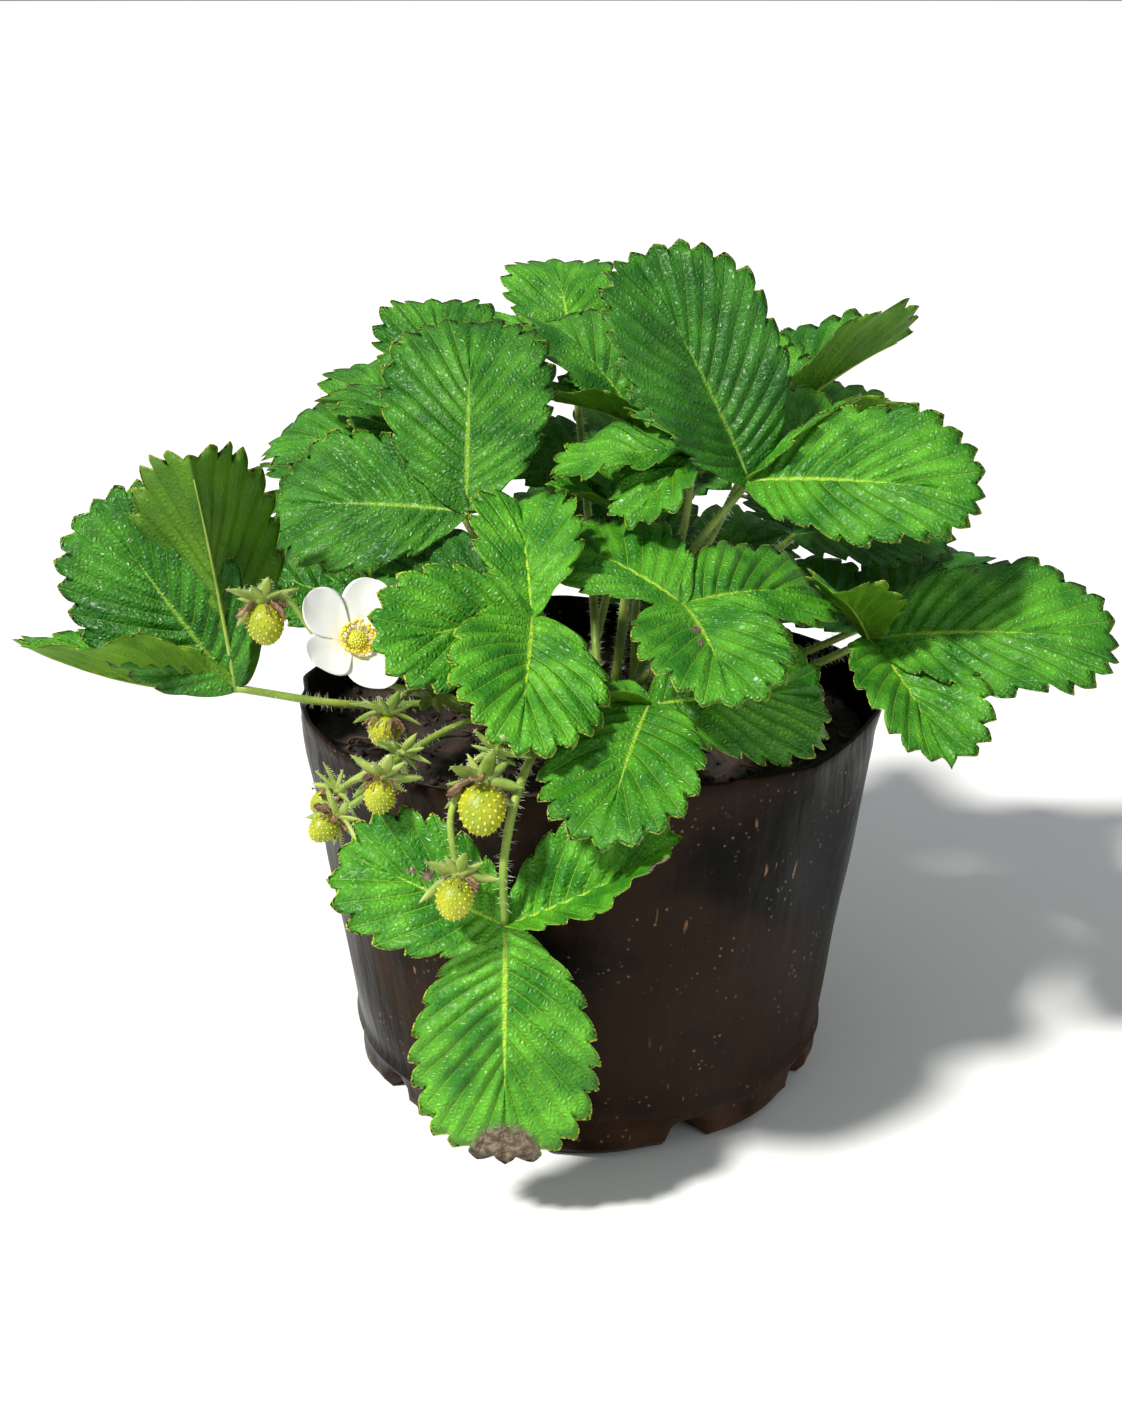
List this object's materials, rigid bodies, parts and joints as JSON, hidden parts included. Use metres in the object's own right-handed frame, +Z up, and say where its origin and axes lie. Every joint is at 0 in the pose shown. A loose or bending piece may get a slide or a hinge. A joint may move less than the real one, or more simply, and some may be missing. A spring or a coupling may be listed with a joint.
{
  "type": "potted strawberry plant",
  "caption": "Strawberry plant with toothed three-part leaves, one white flower and small green berries, growing in a soft dark nursery pot that stands on its flat base.",
  "frame": {"origin": "centre of the pot's underside, on the surface it stands on", "axes": "+Z up along the pot's axis, -Y towards the side where the one leaf hangs over the rim"},
  "size_m": [0.2912, 0.2316, 0.2291],
  "materials": {
    "pot": "thin dark brown-black soft plastic with a slight sheen",
    "soil": "dark crumbly potting soil with bits of bark and root",
    "crown": "rough scaly brown",
    "leaf": "green leaf, softly glossy above, paler and matte beneath",
    "stem": "yellow-green, hairy",
    "petal": "white, soft and thin",
    "disc": "yellow pollen",
    "berry": "firm yellow-green flesh with small raised seeds"
  },
  "bodies": {
    "root": {"pot": "pot", "soil": "soil", "crown": "crown", "leaf_top_right": "leaf", "leaf_right_back": "leaf", "leaf_top_middle": "leaf", "leaf_top_left": "leaf", "leaf_back_left": "leaf", "leaf_front_left": "leaf", "leaf_front_middle": "leaf", "leaf_front_low": "leaf", "leaf_hanging": "leaf", "leaf_left": "leaf", "leaf_right": "leaf", "leaf_right_shaded": "leaf", "leaf_back_top": "leaf", "leaf_middle_shaded": "leaf", "leaf_far_left": "leaf", "leaf_crinkled": "leaf", "leaf_young": "leaf", "leaf_behind_left": "leaf", "leaf_behind_middle": "leaf", "leaf_behind_right": "leaf", "leaf_behind_low": "leaf", "leaf_left_low": "leaf", "truss_flowering": "stem", "truss_left": "stem", "truss_front": "stem", "berry_left": "berry", "berry_rim": "berry", "berry_small": "berry", "berry_low_left": "berry", "berry_under": "berry", "berry_front": "berry", "berry_hanging": "berry", "flower_petals": "petal", "flower_middle": "disc"}
  },
  "joints": []
}
